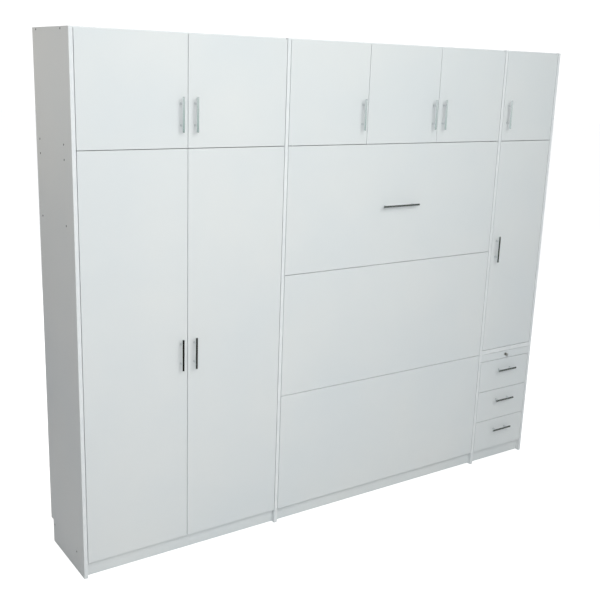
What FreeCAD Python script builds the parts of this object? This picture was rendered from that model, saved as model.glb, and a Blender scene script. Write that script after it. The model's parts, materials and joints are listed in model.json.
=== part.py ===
"""Wall bed in a fitted unit: wardrobe, fold-down bed, drawer column and a row of upper boxes.

Every piece is a separate solid.  The model is laid out in the carcass frame, in millimetres:
X runs from the outer face of the left side, Y from the front plane back to the wall, Z up from
the floor.  The last step shifts it so that the origin is the middle of the footprint.
"""
import FreeCAD, Part
import math
import os

Vector = FreeCAD.Vector
X_AXIS = Vector(1, 0, 0)
Y_AXIS = Vector(0, 1, 0)

# ---- driving dimensions ------------------------------------------------------------------
# carcass
board = 18.0                   # melamine board
back_board = 4.0               # hardboard backs
wardrobe_width = 1050.0        # clear width of each bay, between uprights
bed_bay_width = 1450.0
column_width = 420.0
cabinet_depth = 450.0          # front plane to wall
cabinet_height = 2520.0
lower_height = 2026.0          # the upper boxes stand on the lower unit at this height
back_recess = 30.0             # rear edge of the uprights to the back boards
notch_height = 120.0           # cut-out for the room's skirting board
plinth_setback = 25.0
plinth_height = 90.0
bed_plinth_height = 62.0       # lower, so that the foot of the bed front can swing past
front_clearance = 2.0          # doors to the boards behind them
shelf_drop = 269.0             # top board of the lower unit to the wardrobe's fixed shelf
top_board_drop = 47.0          # top of the lower unit down to its top board
column_shelf_count = 2
batten_height = 90.0           # battens that are screwed to the wall
batten_floor_gap = 130.0
batten_head_gap = 36.0
wall_hole_radius = 5.0
wall_hole_spacing = 1000.0

# fronts
front_thickness = 18.0
gap = 3.0
fronts_bottom = 78.0
fronts_split_drop = 9.5        # top of the lower unit to the middle of the gap between its fronts and the upper
upper_front_head = 6.0         # top of the unit down to the upper doors
drawer_top_level = 722.0       # underside of the drawer unit's top
drawer_top_thickness = 25.0
lock_rail_height = 48.5
drawer_count = 3
upper_bed_door_count = 3
face_panel_count = 3

# bar handles
bar_radius = 6.0
post_radius = 5.0
handle_reach = 32.0            # front of the bar to the face it is fixed on
small_handle_centres = 96.0
small_handle_length = 156.0
bed_handle_centres = 192.0
bed_handle_length = 252.0
handle_inset = 34.0            # from the free edge of a door
upper_handle_rise = 149.0      # from the lower edge of an upper door
drawer_handle_drop = 67.0      # from the upper edge of a drawer front
bed_handle_drop = 327.0        # top of the bed front to its handle

# concealed hinges
cup_radius = 17.5
cup_depth = 12.0
cup_edge = 22.5                # door edge to cup centre
hinge_end = 100.0              # door end to the outermost hinge
plate_size = (12.0, 58.0, 16.0)
plate_setback = 24.0

# drawers and lock
drawer_side = 12.0
drawer_bottom = 4.0
drawer_box_height = 140.0
drawer_box_rise = 25.0         # lower edge of a front to its box
runner_space = 12.7            # each side of a drawer box
runner_height = 45.0
runner_wall = 1.5
lock_radius = 8.0
plug_radius = 5.5
key_projection = 21.0

# bed: the front, its frame and the mattress turn on two pins
pivot_setback = 110.0          # front plane to the pins
pivot_level = 372.0
pivot_radius = 8.0
rail_depth = 32.0              # steel frame tubes
rail_width = 20.0
cross_rail_height = 30.0
tube_wall = 2.0
side_space = 36.0              # bay side to bed frame: arms, struts and plates run here
slat_thickness = 8.0
slat_width = 70.0
slat_count = 14
bed_foot_level = 100.5         # lower end of the frame and mattress when the bed is up
foot_board_thickness = 16.0
foot_board_depth = 132.0
mattress_side_gap = 39.0       # bay side to mattress
mattress_thickness = 180.0
mattress_head_gap = 9.5        # top of the bed front to the mattress
frame_head_gap = 25.0          # top of the bed front to the frame
soft_clearance = 0.5
strap_width = 38.0
strap_thickness = 2.0
strap_slats = (5, 11)          # each strap passes round one slat, counted from the foot

# leg: a frame that swings round the head end of the bed as it comes down
leg_pivot_drop = 315.0         # top of the bed front to the leg's pivots
leg_arm_width = 30.0
leg_arm_thickness = 8.0
leg_bolt_radius = 6.0
leg_tube_radius = 12.5
leg_end_clearance = 10.0       # bed front to the inner side of the standing leg
floor_clearance = 1.0

# gas struts beside the frame
steel_plate = 4.0
strut_anchor_setback = 100.0   # pivot pin back to the anchor on the bay side
strut_anchor_rise = 630.0      # and up
strut_stud_setback = 30.0      # pivot pin back to the stud on the bed, bed up
strut_stud_drop = 100.0        # and down
cylinder_radius = 11.0
cylinder_wall = 1.5
cylinder_length = 400.0
rod_radius = 5.0
rod_insertion = 40.0           # rod inside the cylinder when the bed is up
eye_width = 12.0
eye_radius = 9.0
stud_radius = 4.0
running = 0.05                 # radial clearance of pins and rods
stud_clearance = 0.5

# screws, hanging rail, stops
screw_head_radius = 5.0
screw_head_depth = 2.0
screw_radius = 3.0
screw_length = 50.0
screw_inset = 97.0             # front edge to the front screws
screw_back_inset = 47.0        # rear edge to the rear screws
hanging_rail_radius = 12.5
hanging_rail_drop = 64.0       # fixed shelf to the rail's centre
stop_size = (34.0, 20.0, 34.0)
stop_clearance = 0.3

# ---- derived places ----------------------------------------------------------------------
left_bay = board
divider_1 = left_bay + wardrobe_width
bed_bay = divider_1 + board
divider_2 = bed_bay + bed_bay_width
column_bay = divider_2 + board
right_side = column_bay + column_width
cabinet_width = right_side + board

boards_front = front_thickness + front_clearance
boards_back = cabinet_depth - back_recess - back_board
lower_top_board = lower_height - top_board_drop - board
fixed_shelf = lower_top_board - shelf_drop - board
fronts_split = lower_height - fronts_split_drop
lower_fronts_top = fronts_split - gap / 2
upper_fronts_bottom = fronts_split + gap / 2
upper_fronts_top = cabinet_height - upper_front_head
column_door_bottom = drawer_top_level + drawer_top_thickness + gap

bays = {"wardrobe": (left_bay, divider_1), "bed": (bed_bay, divider_2), "column": (column_bay, right_side)}
upper_bed_door_width = (bed_bay_width - gap * (upper_bed_door_count + 1)) / upper_bed_door_count
partition_middle = bed_bay + gap + upper_bed_door_width + gap / 2

face_left = bed_bay + gap
face_right = divider_2 - gap
frame_left = bed_bay + side_space
frame_right = divider_2 - side_space
slats_front = front_thickness + rail_depth
mattress_front = slats_front + slat_thickness + soft_clearance
mattress_back = mattress_front + mattress_thickness
frame_head = lower_fronts_top - frame_head_gap
mattress_head = lower_fronts_top - mattress_head_gap

nodes = {}


# ---- helpers -----------------------------------------------------------------------------
def box(x0, x1, y0, y1, z0, z1):
    """A board given by its limits in the carcass frame."""
    return Part.makeBox(x1 - x0, y1 - y0, z1 - z0, Vector(x0, y0, z0))


def cylinder(radius, length, start, axis):
    return Part.makeCylinder(radius, length, Vector(*start), axis)


def spread(first, last, count):
    """Evenly spaced values from first to last."""
    step = (last - first) / (count - 1)
    return [first + step * index for index in range(count)]


def side_by_side(low, high, count):
    """Limits of count equal fronts in an opening, with a gap between and at both ends."""
    size = (high - low - gap * (count + 1)) / count
    starts = [low + gap + index * (size + gap) for index in range(count)]
    return [(start, start + size) for start in starts]


def mirrored_in_bay(shape):
    """The same piece on the other side of the bed bay."""
    middle = (bed_bay + divider_2) / 2
    return shape.mirror(Vector(middle, 0, 0), X_AXIS)


def add(name, *solids):
    nodes[name] = list(solids)


# ---- bar handle --------------------------------------------------------------------------
def bar_handle(x, z, centres, length, direction):
    """A round bar on two posts, its feet on the front plane."""
    bar_y = bar_radius - handle_reach
    middle = Vector(x, bar_y, z)
    handle = Part.makeCylinder(bar_radius, length, middle - direction * (length / 2), direction)
    for side in (-1, 1):
        foot = Vector(x, 0, z) + direction * (side * centres / 2)
        handle = handle.fuse(Part.makeCylinder(post_radius, -bar_y, foot, -Y_AXIS))
    return handle.removeSplitter()


# ---- doors on concealed hinges -----------------------------------------------------------
hinge_plates = []


def hinge_levels(z0, z1, count):
    return spread(z0 + hinge_end, z1 - hinge_end, count)


def hinge_cup(x, z):
    """A drilled-in cup with its flange flat on the back of the door."""
    wall = 1.5
    flange_thickness = 1.2
    bottom = front_thickness - cup_depth
    cup = cylinder(cup_radius - running, cup_depth, (x, bottom, z), Y_AXIS)
    flange = box(x - cup_radius / 2, x + cup_radius / 2, front_thickness,
                 front_thickness + flange_thickness, z - 1.8 * cup_radius, z + 1.8 * cup_radius)
    hollow = cylinder(cup_radius - wall, cup_depth, (x, bottom + wall, z), Y_AXIS)
    return cup.fuse(flange).cut(hollow).removeSplitter()


def door(name, x_limits, z_limits, hinge_side, handle_z, hinge_count, plate_face):
    """One inset door with its handle and cups; hinge_side is -1 for left and 1 for right."""
    x0, x1 = x_limits
    z0, z1 = z_limits
    panel = box(x0, x1, 0, front_thickness, z0, z1)
    hinge_edge = x1 if hinge_side > 0 else x0
    free_edge = x0 if hinge_side > 0 else x1
    cup_x = hinge_edge - hinge_side * cup_edge
    fittings = [bar_handle(free_edge + hinge_side * handle_inset, handle_z,
                           small_handle_centres, small_handle_length, Vector(0, 0, 1))]
    thickness, depth, height = plate_size
    plate_x = sorted((plate_face, plate_face - hinge_side * thickness))
    for level in hinge_levels(z0, z1, hinge_count):
        pocket = cylinder(cup_radius, cup_depth, (cup_x, front_thickness - cup_depth, level), Y_AXIS)
        panel = panel.cut(pocket)
        fittings.append(hinge_cup(cup_x, level))
        hinge_plates.append(box(plate_x[0], plate_x[1], plate_setback, plate_setback + depth,
                                level - height / 2, level + height / 2))
    add(name, panel)
    add(name + "_fittings", *fittings)


def make_doors():
    lower_z = (fronts_bottom, lower_fronts_top)
    upper_z = (upper_fronts_bottom, upper_fronts_top)
    lower_middle = (fronts_bottom + lower_fronts_top) / 2
    upper_handle = upper_fronts_bottom + upper_handle_rise
    left, right = side_by_side(left_bay, divider_1, 2)
    door("wardrobe_door_left", left, lower_z, -1, lower_middle, 4, left_bay)
    door("wardrobe_door_right", right, lower_z, 1, lower_middle, 4, divider_1)
    door("upper_wardrobe_door_left", left, upper_z, -1, upper_handle, 2, left_bay)
    door("upper_wardrobe_door_right", right, upper_z, 1, upper_handle, 2, divider_1)
    middle_doors = side_by_side(bed_bay, divider_2, upper_bed_door_count)
    partition_face = partition_middle + board / 2
    door("upper_bed_door_left", middle_doors[0], upper_z, -1, upper_handle, 2, bed_bay)
    door("upper_bed_door_centre", middle_doors[1], upper_z, -1, upper_handle, 2, partition_face)
    door("upper_bed_door_right", middle_doors[2], upper_z, 1, upper_handle, 2, divider_2)
    column = (column_bay + gap, right_side - gap)
    column_z = (column_door_bottom, lower_fronts_top)
    column_middle = (column_door_bottom + lower_fronts_top) / 2
    door("column_door", column, column_z, 1, column_middle, 3, right_side)
    door("upper_column_door", column, upper_z, 1, upper_handle, 2, right_side)
    add("hinge_plates", *hinge_plates)


# ---- carcass -----------------------------------------------------------------------------
def screw(x, y, z, direction):
    """A countersunk carcass screw driven from outside; direction is 1 or -1 along X."""
    axis = X_AXIS * direction
    head = cylinder(screw_head_radius, screw_head_depth, (x, y, z), axis)
    shank = cylinder(screw_radius, screw_length, (x, y, z), axis)
    return head.fuse(shank).removeSplitter()


def carcass_screws():
    """Screws through both outer sides into the ends of the boards."""
    shared = [cabinet_height - board / 2, lower_height + board / 2, lower_top_board + board / 2,
              plinth_height + board / 2]
    left_levels = shared + [fixed_shelf + board / 2]
    right_levels = shared + [drawer_top_level + drawer_top_thickness / 2]
    screws = []
    for y in (screw_inset, cabinet_depth - screw_back_inset):
        screws += [screw(0, y, z, 1) for z in left_levels]
        screws += [screw(cabinet_width, y, z, -1) for z in right_levels]
    return screws


def cut_all(solids, tools):
    """Cut every tool out of the solids that it reaches."""
    result = []
    for solid in solids:
        for tool in tools:
            if solid.BoundBox.intersect(tool.BoundBox):
                solid = solid.cut(tool)
        result.append(solid)
    return result


def wall_holes():
    """Holes through the battens and the back board for the wall fixings."""
    middle = (bed_bay + divider_2) / 2
    levels = (batten_floor_gap + batten_height / 2, lower_height - batten_head_gap - batten_height / 2)
    start = boards_back - back_board
    length = cabinet_depth - start + back_board
    return [cylinder(wall_hole_radius, length, (middle + side * wall_hole_spacing / 2, start, z), Y_AXIS)
            for z in levels for side in (-1, 1)]


def make_carcass():
    screws = carcass_screws()
    holes = wall_holes()
    uprights = []
    upper_uprights = []
    for x in (0, divider_1, divider_2, right_side):
        upright = box(x, x + board, 0, cabinet_depth, 0, lower_height)
        notch = box(x, x + board, cabinet_depth - back_recess, cabinet_depth, 0, notch_height)
        uprights.append(upright.cut(notch))
        upper_uprights.append(box(x, x + board, 0, cabinet_depth, lower_height, cabinet_height))
    upper_uprights.append(box(partition_middle - board / 2, partition_middle + board / 2, boards_front,
                              boards_back, lower_height + board, cabinet_height - board))
    lower_boards = []
    upper_boards = []
    plinths = []
    backs = []
    for bay, (x0, x1) in bays.items():
        upper_boards.append(box(x0, x1, boards_front, boards_back, lower_height, lower_height + board))
        upper_boards.append(box(x0, x1, boards_front, boards_back, cabinet_height - board, cabinet_height))
        backs.append(box(x0, x1, boards_back, boards_back + back_board, lower_height, cabinet_height))
        if bay == "bed":
            plinth_top = bed_plinth_height
            back_bottom = batten_floor_gap
        else:
            plinth_top = plinth_height
            back_bottom = plinth_height
            for z in (plinth_height, lower_top_board):
                lower_boards.append(box(x0, x1, boards_front, boards_back, z, z + board))
        plinths.append(box(x0, x1, plinth_setback, plinth_setback + board, 0, plinth_top))
        backs.append(box(x0, x1, boards_back, boards_back + back_board, back_bottom, lower_height))
    shelves = [box(left_bay, divider_1, boards_front, boards_back, fixed_shelf, fixed_shelf + board)]
    column_top = drawer_top_level + drawer_top_thickness
    clear = (lower_top_board - column_top - board * column_shelf_count) / (column_shelf_count + 1)
    for index in range(column_shelf_count):
        z = column_top + clear + index * (clear + board)
        shelves.append(box(column_bay, right_side, boards_front, boards_back, z, z + board))
    drawer_top = box(column_bay, right_side, 0, boards_back, drawer_top_level, column_top)
    battens = [box(bed_bay, divider_2, boards_back + back_board, cabinet_depth, z, z + batten_height)
               for z in (batten_floor_gap, lower_height - batten_head_gap - batten_height)]
    add("lower_uprights", *cut_all(uprights, screws))
    add("upper_uprights", *cut_all(upper_uprights, screws))
    add("lower_boards", *cut_all(lower_boards, screws))
    add("upper_boards", *cut_all(upper_boards, screws))
    add("shelves", *cut_all(shelves, screws))
    add("drawer_unit_top", *cut_all([drawer_top], screws))
    add("plinth_boards", *plinths)
    add("back_boards", *cut_all(backs, holes))
    add("wall_battens", *cut_all(battens, holes))
    add("carcass_screws", *screws)
    make_hanging_rail()
    make_bed_stops()


def make_hanging_rail():
    """A round steel tube between two cup sockets under the fixed shelf."""
    wall = 1.5
    socket_length = 14.0
    socket_wall = 4.0
    y = (boards_front + boards_back) / 2
    z = fixed_shelf - hanging_rail_drop
    tube = cylinder(hanging_rail_radius, wardrobe_width - 8, (left_bay + 4, y, z), X_AXIS)
    bore = cylinder(hanging_rail_radius - wall, wardrobe_width, (left_bay, y, z), X_AXIS)
    sockets = []
    for x in (left_bay, divider_1 - socket_length):
        cup = cylinder(hanging_rail_radius + socket_wall, socket_length, (x, y, z), X_AXIS)
        room = cylinder(hanging_rail_radius, wardrobe_width - 8, (left_bay + 4, y, z), X_AXIS)
        sockets.append(cup.cut(room))
    add("hanging_rail", tube.cut(bore), *sockets)


def make_bed_stops():
    """Two blocks in the bay's upper corners; the bed front rests against them when it is up."""
    width, depth, height = stop_size
    front = front_thickness + stop_clearance
    stop = box(bed_bay, bed_bay + width, front, front + depth, lower_height - height, lower_height)
    add("bed_stops", stop, mirrored_in_bay(stop))


# ---- drawers and lock --------------------------------------------------------------------
def runner_channel(x_wall, direction, z):
    """The fixed channel of a side-mounted runner; direction points into the bay."""
    depth = runner_space / 2
    x0, x1 = sorted((x_wall, x_wall + direction * depth))
    channel = box(x0, x1, plate_setback, boards_back - 16, z - runner_height / 2, z + runner_height / 2)
    inner0, inner1 = sorted((x_wall + direction * runner_wall, x_wall + direction * (depth + 1)))
    room = box(inner0, inner1, plate_setback, boards_back - 16,
               z - runner_height / 2 + runner_wall, z + runner_height / 2 - runner_wall)
    return channel.cut(room)


def drawer_box(z0):
    """Two sides, an inner front, a back, a bottom and the moving runner bars."""
    x0 = column_bay + runner_space
    x1 = right_side - runner_space
    y0 = front_thickness
    y1 = boards_back - 18
    z1 = z0 + drawer_box_height
    base = z0 + 8
    pieces = [box(x0, x0 + drawer_side, y0, y1, z0, z1)]
    pieces.append(box(x1 - drawer_side, x1, y0, y1, z0, z1))
    for y in (y0, y1 - drawer_side):
        pieces.append(box(x0 + drawer_side, x1 - drawer_side, y, y + drawer_side, base + drawer_bottom, z1))
    pieces.append(box(x0 + drawer_side, x1 - drawer_side, y0, y1, base, base + drawer_bottom))
    bar = runner_space / 2 - running * 8
    middle = z0 + drawer_box_height / 2
    for x in (x0 - bar, x1):
        pieces.append(box(x, x + bar, plate_setback + 2, y1, middle - 10, middle + 10))
    return pieces


def make_drawers():
    names = ["drawer_bottom", "drawer_middle", "drawer_top"]
    top = drawer_top_level - lock_rail_height - gap
    height = (top - fronts_bottom - gap * (drawer_count - 1)) / drawer_count
    middle = (column_bay + right_side) / 2
    channels = []
    for index in range(drawer_count):
        z0 = fronts_bottom + index * (height + gap)
        name = names[index]
        add(name + "_front", box(column_bay + gap, right_side - gap, 0, front_thickness, z0, z0 + height))
        add(name + "_handle", bar_handle(middle, z0 + height - drawer_handle_drop,
                                         small_handle_centres, small_handle_length, X_AXIS))
        box_z = z0 + drawer_box_rise
        if index == 0:
            box_z = max(box_z, plinth_height + board + gap)
        add(name + "_box", *drawer_box(box_z))
        level = box_z + drawer_box_height / 2
        channels.append(runner_channel(column_bay, 1, level))
        channels.append(runner_channel(right_side, -1, level))
    add("drawer_runners", *channels)


def make_lock():
    """A cam lock in the fixed rail above the drawers, with its key."""
    x = (column_bay + right_side) / 2
    z = drawer_top_level - lock_rail_height / 2
    rail = box(column_bay, right_side, 0, front_thickness, z - lock_rail_height / 2, drawer_top_level)
    barrel_back = front_thickness + 6
    barrel = cylinder(lock_radius, barrel_back, (x, 0, z), Y_AXIS)
    collar = cylinder(lock_radius + 2, 2, (x, -2, z), Y_AXIS)
    bore = cylinder(plug_radius + running, barrel_back + 4, (x, -3, z), Y_AXIS)
    add("lock_rail", rail.cut(cylinder(lock_radius, front_thickness, (x, 0, z), Y_AXIS)))
    add("lock_barrel", barrel.fuse(collar).cut(bore).removeSplitter())
    keyway_half = 1.0
    blade_half = 3.5
    plug = cylinder(plug_radius, barrel_back + 2.5, (x, -1.5, z), Y_AXIS)
    keyway = box(x - keyway_half, x + keyway_half, -3, 14, z - blade_half - 0.2, z + blade_half + 0.2)
    cam = box(x - 6, x + 18, barrel_back + 1, barrel_back + 3, z - 6, z + 6)
    add("lock_plug", plug.cut(keyway), cam)
    blade = box(x - keyway_half + 0.1, x + keyway_half - 0.1, -6, 12, z - blade_half, z + blade_half)
    bow_radius = (key_projection - 4) / 2
    bow = cylinder(bow_radius, 2 * keyway_half - 0.2, (x - keyway_half + 0.1, -4 - bow_radius, z), X_AXIS)
    hole = cylinder(bow_radius / 3, 2 * keyway_half, (x - keyway_half, -4 - 1.4 * bow_radius, z), X_AXIS)
    add("lock_key", blade.fuse(bow).cut(hole).removeSplitter())


# ---- bed ---------------------------------------------------------------------------------
def tube(x0, x1, y0, y1, z0, z1, along):
    """A rectangular steel tube, open at both ends."""
    inner = {"x": [0, tube_wall, tube_wall], "z": [tube_wall, tube_wall, 0]}[along]
    room = box(x0 + inner[0], x1 - inner[0], y0 + inner[1], y1 - inner[1], z0 + inner[2], z1 - inner[2])
    return box(x0, x1, y0, y1, z0, z1).cut(room)


def face_panels():
    height = lower_fronts_top - fronts_bottom
    size = (height - gap * (face_panel_count - 1)) / face_panel_count
    starts = [fronts_bottom + index * (size + gap) for index in range(face_panel_count)]
    return [box(face_left, face_right, 0, front_thickness, z, z + size) for z in starts]


def plate_outline(points, x, thickness):
    """A flat plate in the YZ plane from its corner points, thickness along +X."""
    corners = [Vector(x, y, z) for y, z in points]
    wire = Part.makePolygon(corners + corners[:1])
    return Part.Face(wire).extrude(X_AXIS * thickness)


def left_bed_brackets():
    """On the bed frame: the pivot plate with the strut's stud, and the leg's bolt."""
    outer = frame_left - steel_plate
    rear = pivot_setback + 26
    stud_y, stud_z = strut_ends()[1]
    outline = [(front_thickness, stud_z - 20), (stud_y + 16, stud_z - 20), (stud_y + 26, stud_z - 8),
               (stud_y + 26, stud_z + 20), (rear, pivot_level + 20), (slats_front, pivot_level + 190),
               (front_thickness, pivot_level + 190)]
    plate = plate_outline(outline, outer, steel_plate)
    plate = plate.cut(cylinder(pivot_radius + running, steel_plate * 3,
                               (outer - steel_plate, pivot_setback, pivot_level), X_AXIS))
    rail_middle = front_thickness + rail_depth / 2
    stud_end = strut_centre() + eye_width / 2 + stud_clearance
    stud = cylinder(stud_radius, outer - stud_end, (stud_end, stud_y, stud_z), X_AXIS)
    leg_z = lower_fronts_top - leg_pivot_drop
    arm_x = leg_arm_start()
    head_width = 4.0
    bolt_start = arm_x - head_width - stud_clearance
    bolt = cylinder(leg_bolt_radius, frame_left - bolt_start, (bolt_start, rail_middle, leg_z), X_AXIS)
    head = cylinder(leg_bolt_radius + 4, head_width, (bolt_start, rail_middle, leg_z), X_AXIS)
    spacer_x = arm_x + leg_arm_thickness + stud_clearance
    spacer = cylinder(leg_bolt_radius + 4, frame_left - spacer_x, (spacer_x, rail_middle, leg_z), X_AXIS)
    return [plate.fuse(stud).removeSplitter(), bolt.fuse([head, spacer]).removeSplitter()]


def make_bed():
    add("bed_face_panels", *face_panels())
    middle = (bed_bay + divider_2) / 2
    handle_level = lower_fronts_top - bed_handle_drop
    add("bed_handle", bar_handle(middle, handle_level, bed_handle_centres, bed_handle_length, X_AXIS))
    rail_y = (front_thickness, slats_front)
    left_rail = tube(frame_left, frame_left + rail_width, *rail_y, bed_foot_level, frame_head, "z")
    add("bed_side_rails", left_rail, mirrored_in_bay(left_rail))
    panel_pitch = (lower_fronts_top - fronts_bottom + gap) / face_panel_count
    half = cross_rail_height / 2
    levels = [bed_foot_level + half]
    levels += [fronts_bottom - gap / 2 + panel_pitch * index for index in range(1, face_panel_count)]
    levels.append(frame_head - half)
    add("bed_cross_rails", *[tube(frame_left + rail_width, frame_right - rail_width, *rail_y,
                                  z - half, z + half, "x") for z in levels])
    first_slat = bed_foot_level + cross_rail_height
    last_slat = frame_head - cross_rail_height - slat_width
    slat_levels = spread(first_slat, last_slat, slat_count)
    add("bed_slats", *[box(frame_left, frame_right, slats_front, slats_front + slat_thickness, z, z + slat_width)
                       for z in slat_levels])
    foot_board = box(frame_left, frame_right, front_thickness, front_thickness + foot_board_depth,
                     bed_foot_level - foot_board_thickness, bed_foot_level)
    add("mattress_foot_board", foot_board)
    mattress_left = bed_bay + mattress_side_gap
    mattress_right = divider_2 - mattress_side_gap
    add("mattress", box(mattress_left, mattress_right, mattress_front, mattress_back,
                        bed_foot_level + soft_clearance, mattress_head))
    straps = []
    for number in strap_slats:
        z = slat_levels[number - 1] + (slat_width - strap_width) / 2
        outside = box(mattress_left - strap_thickness, mattress_right + strap_thickness,
                      slats_front + slat_thickness, mattress_back + strap_thickness, z, z + strap_width)
        inside = box(mattress_left, mattress_right, 0, mattress_back, z - 1, z + strap_width + 1)
        straps.append(outside.cut(inside))
    add("mattress_straps", *straps)
    brackets = left_bed_brackets()
    add("bed_brackets", *brackets, *[mirrored_in_bay(piece) for piece in brackets])


# ---- leg ---------------------------------------------------------------------------------
def leg_arm_start():
    """The arms run in the middle of the space between the frame and the bay side."""
    return bed_bay + (side_space - leg_arm_thickness) / 2 - 2


def make_leg():
    """Two bent arms and a cross tube.  Up, the tube lies across the mattress; down, it stands."""
    arm_x = leg_arm_start()
    pivot_y = front_thickness + rail_depth / 2
    pivot_z = lower_fronts_top - leg_pivot_drop
    half = leg_arm_width / 2
    arm_length = leg_pivot_drop + leg_end_clearance + half
    standing_height = pivot_level - pivot_setback + pivot_y - floor_clearance - leg_tube_radius
    tube_y = pivot_y + standing_height
    tube_z = pivot_z - arm_length
    arm = box(arm_x, arm_x + leg_arm_thickness, pivot_y - half, pivot_y + half, tube_z - half, pivot_z)
    arm = arm.fuse(cylinder(half, leg_arm_thickness, (arm_x, pivot_y, pivot_z), X_AXIS))
    arm = arm.fuse(box(arm_x, arm_x + leg_arm_thickness, pivot_y, tube_y, tube_z - half, tube_z + half))
    arm = arm.cut(cylinder(leg_bolt_radius + running, leg_arm_thickness * 3,
                           (arm_x - leg_arm_thickness, pivot_y, pivot_z), X_AXIS))
    far_arm = mirrored_in_bay(arm)
    leg_width = bed_bay_width - 2 * (arm_x - bed_bay)
    cross_tube = cylinder(leg_tube_radius, leg_width, (arm_x, tube_y, tube_z), X_AXIS)
    add("bed_leg", arm.fuse([far_arm, cross_tube]).removeSplitter())


# ---- gas struts --------------------------------------------------------------------------
def strut_centre():
    """Middle of the space between the plate on the bay side and the plate on the frame."""
    return bed_bay + side_space / 2


def strut_ends():
    """Anchor on the bay side and stud on the bed frame, bed up, as (y, z)."""
    anchor = (pivot_setback + strut_anchor_setback, pivot_level + strut_anchor_rise)
    stud = (pivot_setback + strut_stud_setback, pivot_level - strut_stud_drop)
    return anchor, stud


def strut_eye(at_level, radius):
    """An eye across the strut with a running bore for its stud, centred on the strut's axis."""
    start = (-eye_width / 2, 0, at_level)
    eye = cylinder(eye_radius, eye_width, start, X_AXIS)
    bore = cylinder(radius + running, eye_width, start, X_AXIS)
    return eye, bore


def place_strut(shape):
    """Turn a shape built along Z from the anchor into the strut's line."""
    anchor, stud = strut_ends()
    lean = math.degrees(math.atan2(-(stud[0] - anchor[0]), stud[1] - anchor[1]))
    shape.rotate(Vector(0, 0, 0), X_AXIS, lean)
    shape.translate(Vector(strut_centre(), anchor[0], anchor[1]))
    return shape


def make_struts():
    anchor, stud = strut_ends()
    length = math.hypot(stud[0] - anchor[0], stud[1] - anchor[1])
    z_axis = Vector(0, 0, 1)
    end_wall = 12.0
    eye, bore = strut_eye(0, stud_radius)
    body = cylinder(cylinder_radius, cylinder_length - eye_radius, (0, 0, eye_radius), z_axis)
    neck = cylinder(cylinder_wall * 4, eye_radius + 1, (0, 0, 0), z_axis)
    room = cylinder(cylinder_radius - cylinder_wall, cylinder_length - eye_radius - 2 * end_wall,
                    (0, 0, eye_radius + end_wall), z_axis)
    guide = cylinder(rod_radius + running, end_wall + 2, (0, 0, cylinder_length - end_wall - 1), z_axis)
    barrel = body.fuse([eye, neck]).cut(bore).cut(room).cut(guide).removeSplitter()
    rod_start = cylinder_length - rod_insertion
    far_eye, far_bore = strut_eye(length, stud_radius)
    rod = cylinder(rod_radius, length - rod_start, (0, 0, rod_start), z_axis)
    piston = cylinder(cylinder_radius - cylinder_wall - running, 8, (0, 0, rod_start), z_axis)
    rod = rod.fuse([piston, far_eye]).cut(far_bore).removeSplitter()
    barrel = place_strut(barrel)
    rod = place_strut(rod)
    add("left_strut_cylinder", barrel)
    add("left_strut_rod", rod)
    add("right_strut_cylinder", mirrored_in_bay(barrel))
    add("right_strut_rod", mirrored_in_bay(rod))
    half = 45.0
    pivot_plate = box(bed_bay, bed_bay + steel_plate, pivot_setback - half, pivot_setback + half,
                      pivot_level - half, pivot_level + half)
    pin_length = frame_left + 1.5 - bed_bay
    pin = cylinder(pivot_radius, pin_length, (bed_bay, pivot_setback, pivot_level), X_AXIS)
    anchor_plate = box(bed_bay, bed_bay + steel_plate, anchor[0] - half / 2, anchor[0] + half / 2,
                       anchor[1] - half, anchor[1] + half)
    anchor_stud = cylinder(stud_radius, strut_centre() + eye_width / 2 - bed_bay,
                           (bed_bay, anchor[0], anchor[1]), X_AXIS)
    mountings = [pivot_plate.fuse(pin).removeSplitter(), anchor_plate.fuse(anchor_stud).removeSplitter()]
    add("bed_mounting_plates", *mountings, *[mirrored_in_bay(piece) for piece in mountings])


# ---- build and write ---------------------------------------------------------------------
make_carcass()
make_doors()
make_drawers()
make_lock()
make_bed()
make_leg()
make_struts()

origin_shift = Vector(-cabinet_width / 2, -(cabinet_depth - handle_reach) / 2, 0)
os.makedirs("parts", exist_ok=True)
for name, solids in nodes.items():
    shape = solids[0] if len(solids) == 1 else Part.makeCompound(solids)
    shape = shape.copy()
    shape.translate(origin_shift)
    shape.exportStep("parts/" + name + ".step")
print(len(nodes), "nodes,", sum(len(solids) for solids in nodes.values()), "solids")
print("overall", cabinet_width, cabinet_depth + handle_reach, cabinet_height)
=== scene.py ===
# %% [markdown]
# # A fold-down wall bed in a white fitted unit
#
# The unit is a wardrobe, a bed that folds up behind three white panels, a column with drawers, and a
# row of boxes on top.  The boards, tubes and plates come from the CAD model.  This script eases their
# edges, gives them their finishes, and adds what a maker would shape by hand: handles, hinges,
# screws, slats, the mattress and its straps.
#
# The first cell loads the CAD model as a fixed frame, and the last line measures the finished
# model's bounds.

# %% load the frame
import bpy
import json
import math
from mathutils import Matrix, Vector


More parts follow.
